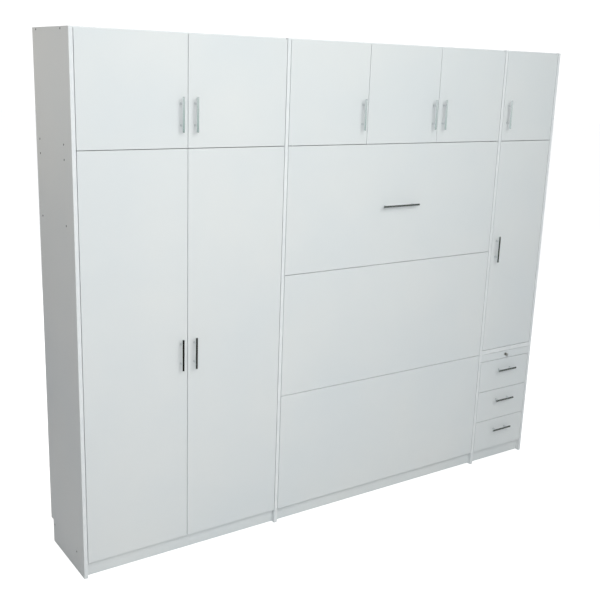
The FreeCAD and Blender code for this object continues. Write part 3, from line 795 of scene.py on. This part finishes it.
def drawer_box(name):
    low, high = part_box(name + "_box")
    x0, x1 = low.x + RUNNER_BAR, high.x - RUNNER_BAR
    inner0, inner1 = x0 + DRAWER_SIDE, x1 - DRAWER_SIDE
    parts = [block((x0, low.y, low.z), (inner0, high.y, high.z), 0.7),
             block((inner1, low.y, low.z), (x1, high.y, high.z), 0.7)]
    for y in (low.y, high.y - DRAWER_SIDE):
        parts.append(block((inner0, y, low.z + BOTTOM_TOP), (inner1, y + DRAWER_SIDE, high.z), 0.7))
    base = block((inner0, low.y, low.z + BOTTOM_RISE), (inner1, high.y, low.z + BOTTOM_TOP), 0.3)
    parts = [top_edging(part) for part in parts + [base]]
    for face in base.data.polygons:
        face.material_index = 0
    middle = (low.z + high.z) / 2
    bars = [block((x, low.y + RUNNER_SETBACK, middle - RUNNER_HALF_HEIGHT),
                  (x + RUNNER_BAR, high.y, middle + RUNNER_HALF_HEIGHT), 1.2)
            for x in (low.x, high.x - RUNNER_BAR)]
    stand_for(joined(name + "_box_boards", parts), name + "_box")
    add_to(coat(joined(name + "_runner_members", bars), zinc), name + "_box", "plated_steel")


for name in drawer_names:
    drawer_box(name)
print("drawer boxes built")

# %% [markdown]
# ## Steel pieces
#
# Tubes, brackets, struts and the lock already have their shape in the CAD model.  As with the boards,
# a merged copy of each gets its finish and eased edges.

# %% steel pieces that keep their CAD shape, with eased edges
def finish_metal(node_name, piece_name, material, edge_mm):
    piece = merged_copy(node_name, piece_name)
    coat(piece, material)
    ease(piece, edge_mm)
    return stand_for(piece, node_name)


finish_metal("drawer_runners", "drawer_runner_channels", zinc, 0.3)
finish_metal("hanging_rail", "hanging_rail_and_sockets", chrome, 0.4)
finish_metal("bed_side_rails", "bed_side_tubes", grey_coat, 0.7)
finish_metal("bed_cross_rails", "bed_cross_tubes", grey_coat, 0.7)
finish_metal("bed_mounting_plates", "mounting_plates_and_pins", zinc, 0.5)
finish_metal("bed_brackets", "pivot_plates_and_bolts", zinc, 0.5)
finish_metal("bed_leg", "folding_leg", grey_coat, 1.2)
for side in ("left", "right"):
    finish_metal(side + "_strut_cylinder", side + "_spring_cylinder", black_enamel, 0.6)
    finish_metal(side + "_strut_rod", side + "_spring_rod", chrome, 0.5)
finish_metal("lock_barrel", "lock_collar", satin, 0.4)
finish_metal("lock_plug", "lock_core_and_cam", satin, 0.3)
print("steel pieces finished")

# %% [markdown]
# ## Lock and key
#
# The key keeps its CAD shape, a thin blade with a round bow, and hangs a split ring from its hole.
# The ring is a torus, the one primitive that is already almost the real thing: it only has to be
# turned upright and made double, because a split ring is one wire wound twice.

# %% key with its ring
finish_metal("lock_key", "key_blade_and_bow", satin, 0.25)
low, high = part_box("lock_key")
BOW_RADIUS = 8.5 * MM
RING_RADIUS = 7.5 * MM
WIRE_RADIUS, WIRE_OFFSET = 0.55 * MM, 0.5 * MM
hole_y = low.y + BOW_RADIUS * 0.6
middle_x, middle_z = (low.x + high.x) / 2, (low.z + high.z) / 2
wires = []
for offset in (-WIRE_OFFSET, WIRE_OFFSET):
    bpy.ops.object.select_all(action="DESELECT")
    bpy.ops.mesh.primitive_torus_add(
        major_radius=RING_RADIUS, minor_radius=WIRE_RADIUS, major_segments=40, minor_segments=10,
        rotation=(math.pi / 2, 0, 0), location=(middle_x, hole_y + offset, middle_z - RING_RADIUS))
    wires.append(settle(bpy.context.active_object))
add_to(coat(joined("key_split_ring", wires), nickel), "lock_key", "plated_steel")
print("key hangs at", [round(v, 3) for v in (hole_y, middle_z)])

# %% [markdown]
# ## Hardboard backs and pine battens
#
# The backs are 4 mm hardboard: lacquered white inside, and brown with the print of a wire mesh on the
# wall side, where the wet board lay on a screen when it was pressed.  The material tells the two
# sides apart by the direction that a face looks in.  The battens that carry the wall bolts are
# planed pine, with growth rings drawn out along the board and a few darker late-wood lines.

# %% hardboard and pine
SCREEN_TURN_MM = 10 / 11


def hardboard():
    material, tree, shader = new_material("white_faced_hardboard", 0.5)
    normal = add_node(tree, "TexCoord").outputs["Normal"]
    facing = add_node(tree, "SeparateXYZ", links={"Vector": normal})
    compared = add_node(tree, "Math", {"operation": "GREATER_THAN", 1: 0.5}, {0: facing.outputs["Y"]})
    to_wall = compared.outputs["Value"]
    fibre = noise(tree, 5, 5.0)
    brown = ramp(tree, fibre, [(0.3, "#94704B"), (0.55, "#A37E57"), (0.8, "#B08B63")])
    tone = add_node(tree, "Mix", {"data_type": "RGBA"}, {"Factor": to_wall})
    tone.inputs[6].default_value = linear("#E6E8E8")
    tree.links.new(brown, tone.inputs[7])
    tree.links.new(tone.outputs[2], shader.inputs["Base Color"])
    vary_roughness(tree, shader, to_wall, 0.45, 0.82)
    screen = product(tree, stripes(tree, "X", SCREEN_TURN_MM), stripes(tree, "Z", SCREEN_TURN_MM))
    add_bump(tree, shader, product(tree, screen, to_wall), 0.5, 0.6)
    return material


def wood(name, tones, ring_mm, grain_mm, roughness, lines=0.35):
    """Rings drawn out along X, with fine pores on top."""
    material, tree, shader = new_material(name, roughness)
    rings = noise(tree, ring_mm, 3.0, stretch=(28, 1, 1))
    pores = noise(tree, grain_mm, 3.0, stretch=(40, 1, 1))
    both = add_node(tree, "Mix", {"Factor": lines}, {2: rings, 3: pores})
    tint(tree, shader, both.outputs[0], tones)
    vary_roughness(tree, shader, pores, roughness - 0.08, roughness + 0.08)
    add_bump(tree, shader, pores, 0.1, 0.4)
    return material


pine_tones = [(0.3, "#B98A54"), (0.45, "#D6AE78"), (0.6, "#E3C28F"), (0.8, "#EBD0A2")]
pine = wood("planed_pine", pine_tones, 22, 2.5, 0.6)
coat(frame["nodes"]["back_boards"], hardboard())
battens = coat(merged_copy("wall_battens", "wall_fixing_battens"), pine)
ease(battens, 1.2)
stand_for(battens, "wall_battens")
print("backs and battens finished")

# %% [markdown]
# ## Sprung slats
#
# A slat is birch plywood, 8 mm thick, glued from veneers whose grain runs along it.  Its long edges
# are rounded over and show the plies as stripes.  Each end sits in a black nylon holder that clips
# over the frame's tube.  A slat is a block rounded by a bevel; holders are blocks a little larger
# around its ends.

# %% slat materials
def plywood_edge():
    material, tree, shader = new_material("birch_plywood_edge", 0.5)
    tint(tree, shader, stripes(tree, "Y", 2.3), [(0.2, "#A9814F"), (0.5, "#D2AC76"), (0.8, "#E2C596")])
    add_bump(tree, shader, noise(tree, 2.0, 3.0, (1, 30, 1)), 0.1, 0.4)
    return material


birch_tones = [(0.3, "#D2AE7C"), (0.5, "#DEC091"), (0.7, "#E8CFA5")]
birch = wood("clear_lacquered_birch", birch_tones, 30, 2.0, 0.38, 0.5)
birch_edge = plywood_edge()
nylon = grained("black_moulded_nylon", "#17181A", "#1E1F21", 1.5, 0.4, 0.55, 40, (2.0, 3.0), 0.06)
rubber = grained("black_moulded_rubber", "#151515", "#1B1A19", 2.0, 0.65, 0.8, 40, (2.0, 3.0), 0.06)
print("slat and rubber materials ready")

# %% slats, holders and stops
def boxes_of(node_name):
    """Lowest and highest corners of each separate solid in a CAD node."""
    found = []
    for part in loose_parts(merged_copy(node_name, "measured")):
        corners = [Vector(corner) for corner in part.bound_box]
        found.append((Vector([min(c[i] for c in corners) for i in range(3)]),
                      Vector([max(c[i] for c in corners) for i in range(3)])))
        bpy.data.objects.remove(part)
    return sorted(found, key=lambda pair: (round(pair[0].z, 4), pair[0].x))


slats, holders = [], []
HOLDER_LENGTH = 44 * MM
HOLDER_WALL = 2.5 * MM
STOP_HOLE_RADIUS, STOP_HOLE_DEPTH = 5 * MM, 5 * MM
for low, high in boxes_of("bed_slats"):
    slat = coat(block(low, high, 2.6, 3), birch, birch_edge)
    for face in slat.data.polygons:
        face.material_index = 0 if abs(face.normal.y) > 0.8 else 1
    slats.append(slat)
    for x0, x1 in ((low.x, low.x + HOLDER_LENGTH), (high.x - HOLDER_LENGTH, high.x)):
        holders.append(block((x0 + 0.2 * MM, low.y + 0.1 * MM, low.z - HOLDER_WALL),
                             (x1 - 0.2 * MM, high.y + 0.35 * MM, high.z + HOLDER_WALL), 1.2))
stand_for(joined("sprung_slats", slats), "bed_slats")
add_to(coat(joined("slat_end_holders", holders), nylon), "bed_slats", "black_rubber")
stops = []
for low, high in boxes_of("bed_stops"):
    stop = block(low, high, 3.0, 3)
    middle = (low + high) / 2
    cut(stop, rod((middle.x, middle.y, low.z - 1 * MM),
                  (middle.x, middle.y, low.z + STOP_HOLE_DEPTH), STOP_HOLE_RADIUS, 24, 0))
    stops.append(stop)
stand_for(coat(joined("rubber_bed_stops", stops), rubber), "bed_stops")
print(len(slats), "slats,", len(holders), "holders,", len(stops), "stops")

# %% [markdown]
# ## Plate screws and leg sleeves
#
# A pan-head screw near every corner holds each mounting plate to its upright.  Two rubber sleeves on
# the leg's cross tube keep it from marking the floor.

# %% screws that hold the plates to the bay, and rubber sleeves on the leg
PLATE = 4.0 * MM
PAN_HEIGHT = 1.7 * MM
PLATE_INSET = 10 * MM
TUBE_RADIUS = 12.5 * MM
TUBE_RISE = 15 * MM
SLEEVE, SLEEVE_INSET, SLEEVE_WALL = 90 * MM, 60 * MM, 0.8 * MM
plate_screws = []
bay_low, bay_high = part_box("bed_face_panels")
for low, high in boxes_of("bed_mounting_plates"):
    on_left = low.x < (bay_low.x + bay_high.x) / 2
    face_x = low.x + PLATE + PAN_HEIGHT if on_left else high.x - PLATE - PAN_HEIGHT
    facing = Matrix.Rotation(math.pi / 2 if on_left else -math.pi / 2, 4, "Z")
    for z in (low.z + PLATE_INSET, high.z - PLATE_INSET):
        for y in (low.y + PLATE_INSET, high.y - PLATE_INSET):
            plate_screws.append(copied(pan_head, (face_x, y, z), facing))
add_to(coat(joined("mounting_plate_screws", plate_screws), zinc), "bed_mounting_plates")
low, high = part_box("bed_leg")
tube_y, tube_z = high.y - TUBE_RADIUS, low.z + TUBE_RISE
sleeves = [rod((start, tube_y, tube_z), (start + SLEEVE, tube_y, tube_z),
               TUBE_RADIUS + SLEEVE_WALL, 32, 0.7)
           for start in (low.x + SLEEVE_INSET, high.x - SLEEVE_INSET - SLEEVE)]
add_to(coat(joined("leg_foot_sleeves", sleeves), rubber), "bed_leg", "black_rubber")
print(len(plate_screws), "plate screws")

# %% [markdown]
# ## Mattress
#
# A mattress is a pad of foam and springs in a knitted cover, quilted on both faces, with a taped edge
# around each face.  It is never quite flat: the filling pushes the cover out between its seams.  So a
# slightly smaller rounded block is remeshed evenly and blown up by a short cloth simulation, with
# each point's travel capped.  The quilting comes after, because a remesh would erase it: stitch lines
# pull the cover in along a diamond grid.  The tape is a separate rolled band.

# %% ticking
def ticking():
    """Knitted polyester, a soft cool white: 2 mm loops, drawn at 4 mm so that they show."""
    material, tree, shader = new_material("knitted_ticking", 0.85)
    loops = add_node(tree, "TexVoronoi", {"Scale": 1000 / 4.0}, {"Vector": object_place(tree)})
    tint(tree, shader, noise(tree, 60, 4.0), [(0.3, "#EEECE7"), (0.7, "#F4F3F0")])
    shader.inputs["Sheen Weight"].default_value = 0.25
    add_bump(tree, shader, loops.outputs["Distance"], 0.5, 0.7)
    return material


def woven_tape(name, first, second, thread_mm):
    """Plain weave: two crossing sets of threads."""
    material, tree, shader = new_material(name, 0.75)
    weave = product(tree, stripes(tree, "Z", thread_mm), stripes(tree, "DIAGONAL", thread_mm))
    tint(tree, shader, weave, [(0.1, first), (0.6, second)])
    shader.inputs["Sheen Weight"].default_value = 0.15
    add_bump(tree, shader, weave, 0.5, 0.7)
    return material


knit = ticking()
edge_tape = woven_tape("woven_edge_tape", "#B9BEC4", "#CDD1D6", 1.2)
webbing = woven_tape("polyester_webbing", "#1B1D22", "#33363D", 1.4)
print("fabrics ready")

# %% mattress blank
mattress_low, mattress_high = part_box("mattress")
SHRINK = 5 * MM
CORNER = 55 * MM
RIM = 22 * MM


def select_nothing(item, kind):
    """Leaves nothing selected, and sets which kind of element the next selection is made of."""
    only(item)
    edit_mode()
    bpy.ops.mesh.select_mode(type=kind)
    bpy.ops.mesh.select_all(action="DESELECT")
    object_mode()


def pick_edges(item, wanted):
    """Selects the edges whose two ends satisfy a test, and nothing else."""
    select_nothing(item, "EDGE")
    for edge in item.data.edges:
        first, second = (item.data.vertices[i].co for i in edge.vertices)
        edge.select = wanted(first, second)
    edit_mode()


def bevel_edges(item, wanted, offset, segments):
    pick_edges(item, wanted)
    bpy.ops.mesh.bevel(offset=offset, segments=segments)
    object_mode()


inset = Vector((SHRINK, SHRINK, SHRINK))
mattress = block(mattress_low + inset, mattress_high - inset, 0)
bevel_edges(mattress, lambda a, b: abs(a.y - b.y) > 0.1, CORNER, 6)
bevel_edges(mattress, lambda a, b: abs(a.y - b.y) < 1e-5, RIM, 4)
mattress.name = "quilted_mattress"
apply_modifier(mattress, "REMESH", mode="VOXEL", voxel_size=20 * MM)
print("blank:", len(mattress.data.vertices), "points")

# %% fill it: a short cloth simulation with a capped swell
SWELL_CAP = 9 * MM


def swell(item, pressure, cap, frames=20):
    """Blows a closed cloth up from inside, and lets no point travel further than the cap."""
    only(item)
    before = [v.co.copy() for v in item.data.vertices]
    cloth = item.modifiers.new("cloth", "CLOTH")
    cloth.settings.use_pressure = True
    cloth.settings.uniform_pressure_force = pressure
    cloth.settings.effector_weights.gravity = 0
    cloth.settings.mass = 0.4
    cloth.point_cache.frame_start = 1
    cloth.point_cache.frame_end = frames
    for number in range(1, frames + 1):
        bpy.context.scene.frame_set(number)
    evaluated = item.evaluated_get(bpy.context.evaluated_depsgraph_get())
    after = [v.co.copy() for v in evaluated.data.vertices]
    item.modifiers.remove(cloth)
    bpy.context.scene.frame_set(1)
    for vertex, old, new in zip(item.data.vertices, before, after):
        move = new - old
        vertex.co = old + (move if move.length <= cap else move.normalized() * cap)
    return item


swell(mattress, 4.0, SWELL_CAP)
apply_modifier(mattress, "SUBSURF", levels=1, render_levels=1)
print("filled:", len(mattress.data.vertices), "points")

# %% quilting, straps' grooves, and a flat underside
PITCH = 150 * MM
STITCH_WIDTH = 24 * MM
STITCH_DEPTH = 8 * MM
FACE_BAND = 30 * MM          # how deep below a face the quilting pulls
QUILT_MARGIN, QUILT_FADE = 45 * MM, 30 * MM
BORDER_BAND, BORDER_PITCH, BORDER_DEPTH = 34 * MM, 90 * MM, 2 * MM
STRAP_PRESS, STRAP_FADE = 1.2 * MM, 25 * MM
strap_boxes = boxes_of("mattress_straps")
centre = (mattress_low + mattress_high) / 2
half = (mattress_high - mattress_low) / 2


def stitched(value):
    """1 on a stitch line and 0 away from it, for a distance across the lines."""
    away = abs((value / PITCH) % 1.0 - 0.5) * PITCH
    near = max(0.0, 1 - (PITCH / 2 - away) / STITCH_WIDTH)
    return near * near * (3 - 2 * near)


for vertex in mattress.data.vertices:
    place = vertex.co - centre
    inside_x = half.x - abs(place.x)
    inside_z = half.z - abs(place.z)
    field = min(1.0, max(0.0, (min(inside_x, inside_z) - QUILT_MARGIN) / QUILT_FADE))
    if abs(place.y) > half.y - FACE_BAND and field > 0:
        line = max(stitched(place.x + place.z), stitched(place.x - place.z))
        vertex.co.y -= math.copysign(STITCH_DEPTH * line * field, place.y)
    elif abs(place.y) < half.y - BORDER_BAND:
        line = stitched((place.y + BORDER_PITCH / 2) * PITCH / BORDER_PITCH)
        if inside_x < FACE_BAND:
            vertex.co.x -= math.copysign(BORDER_DEPTH * line, place.x)
        if inside_z < FACE_BAND:
            vertex.co.z -= math.copysign(BORDER_DEPTH * line, place.z)
    for low, high in strap_boxes:
        away = abs(vertex.co.z - (low.z + high.z) / 2) - (high.z - low.z) / 2
        if away < STRAP_FADE:
            limit = STRAP_PRESS * min(1.0, max(0.0, 1 - away / STRAP_FADE)) - max(0.0, away) * 0.2
            vertex.co.y = min(vertex.co.y, mattress_high.y - limit)
            vertex.co.x = min(max(vertex.co.x, mattress_low.x + limit), mattress_high.x - limit)
    vertex.co.y = max(vertex.co.y, mattress_low.y)
only(mattress)
bpy.ops.object.shade_smooth()
coat(mattress, knit)
stand_for(mattress, "mattress")
print("mattress triangles:", 2 * len(mattress.data.polygons))

# %% taped edges around both faces
TAPE_RADIUS = 4.5 * MM
TAPE_INSET = 8 * MM


def delete_faces(item, wanted):
    """Opens a shape: deletes the faces whose normals satisfy a test."""
    select_nothing(item, "FACE")
    for face in item.data.polygons:
        face.select = wanted(face.normal)
    edit_mode()
    bpy.ops.mesh.delete(type="FACE")
    object_mode()


def taped_edge(y, name):
    """A rolled tape: a rounded loop, cut into short lengths and laid on the mattress's own skin."""
    step = RIM * 0.29 - 1.5 * MM
    low = Vector((mattress_low.x + step, y - TAPE_RADIUS, mattress_low.z + step))
    high = Vector((mattress_high.x - step, y + TAPE_RADIUS, mattress_high.z - step))
    loop = block(low, high, 0)
    bevel_edges(loop, lambda a, b: abs(a.y - b.y) > 0.5 * TAPE_RADIUS, CORNER - step, 12)
    delete_faces(loop, lambda normal: abs(normal.y) > 0.9)
    pick_edges(loop, lambda a, b: (a - b).length > 0.3)
    bpy.ops.mesh.subdivide(number_cuts=30)
    object_mode()
    for vertex in loop.data.vertices:
        middle = Vector((vertex.co.x, y, vertex.co.z))
        vertex.co += mattress.closest_point_on_mesh(middle)[1] - middle
    apply_modifier(loop, "SOLIDIFY", thickness=2 * TAPE_RADIUS, offset=0)
    apply_modifier(loop, "BEVEL", width=0.9 * TAPE_RADIUS, segments=4, limit_method="ANGLE",
                   angle_limit=math.radians(50))
    return coat(joined(name, [loop]), edge_tape)


for y, name in ((mattress_low.y + TAPE_INSET, "front_edge_tape"),
                (mattress_high.y - TAPE_INSET, "rear_edge_tape")):
    add_to(taped_edge(y, name), "mattress")
print("taped edges made")

# %% [markdown]
# ## Straps and buckles
#
# Two webbing straps hold the mattress to its slats when the bed stands up.  A strap is the skin of a
# block: two corners are rounded, the open faces are deleted and the rest is thickened inwards.  A
# moulded cam buckle sits on its outer side.

# %% straps with buckles
STRAP = 2.0 * MM
STRAP_CORNER = 24 * MM


def strap(low, high, name):
    """A band round three sides of the mattress; its front is left open."""
    band = block(low, high, 0)
    bevel_edges(band, lambda a, b: abs(a.z - b.z) > 0.02 and min(a.y, b.y) > high.y - 1e-4,
                STRAP_CORNER, 8)
    delete_faces(band, lambda normal: abs(normal.z) > 0.9 or normal.y < -0.9)
    apply_modifier(band, "SOLIDIFY", thickness=STRAP, offset=-1)
    return coat(joined(name, [band]), webbing)


def tile(x, z, half_width, half_height, front, back, edge_mm=0, segments=2):
    """A block round a point of the rear view, from one depth to another."""
    return block((x - half_width, front, z - half_height), (x + half_width, back, z + half_height),
                 edge_mm, segments)


def buckle(x, y, z):
    """A cam buckle: a frame with a slot on either side, and a ribbed lever between them."""
    outer = tile(x, z, 27 * MM, 24 * MM, y, y + 5 * MM, 1.4, 3)
    for slot_x in (x - 19 * MM, x + 19 * MM):
        cut(outer, tile(slot_x, z, 3.5 * MM, 20 * MM, y - 1 * MM, y + 6 * MM))
    lever = tile(x, z, 12 * MM, 19 * MM, y + 3 * MM, y + 8.5 * MM, 1.8, 3)
    ribs = [block((x - 10 * MM + i * 4 * MM, y + 7.5 * MM, z - 16 * MM),
                  (x - 8.4 * MM + i * 4 * MM, y + 9.3 * MM, z + 16 * MM), 0.4) for i in range(5)]
    return [outer, lever] + ribs


buckles = []
for (low, high), which, place_piece in zip(strap_boxes, ("lower", "upper"), (stand_for, add_to)):
    place_piece(strap(low, high, which + "_mattress_strap"), "mattress_straps")
    buckles += buckle(centre.x, high.y - 0.3 * MM, (low.z + high.z) / 2)
add_to(coat(joined("strap_buckles", buckles), nylon), "mattress_straps", "black_rubber")
print("straps and buckles made")

# %% remove the patterns that copies were taken from
for pattern in patterns:
    bpy.data.objects.remove(pattern)
print(len(patterns), "patterns removed")

low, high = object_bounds()
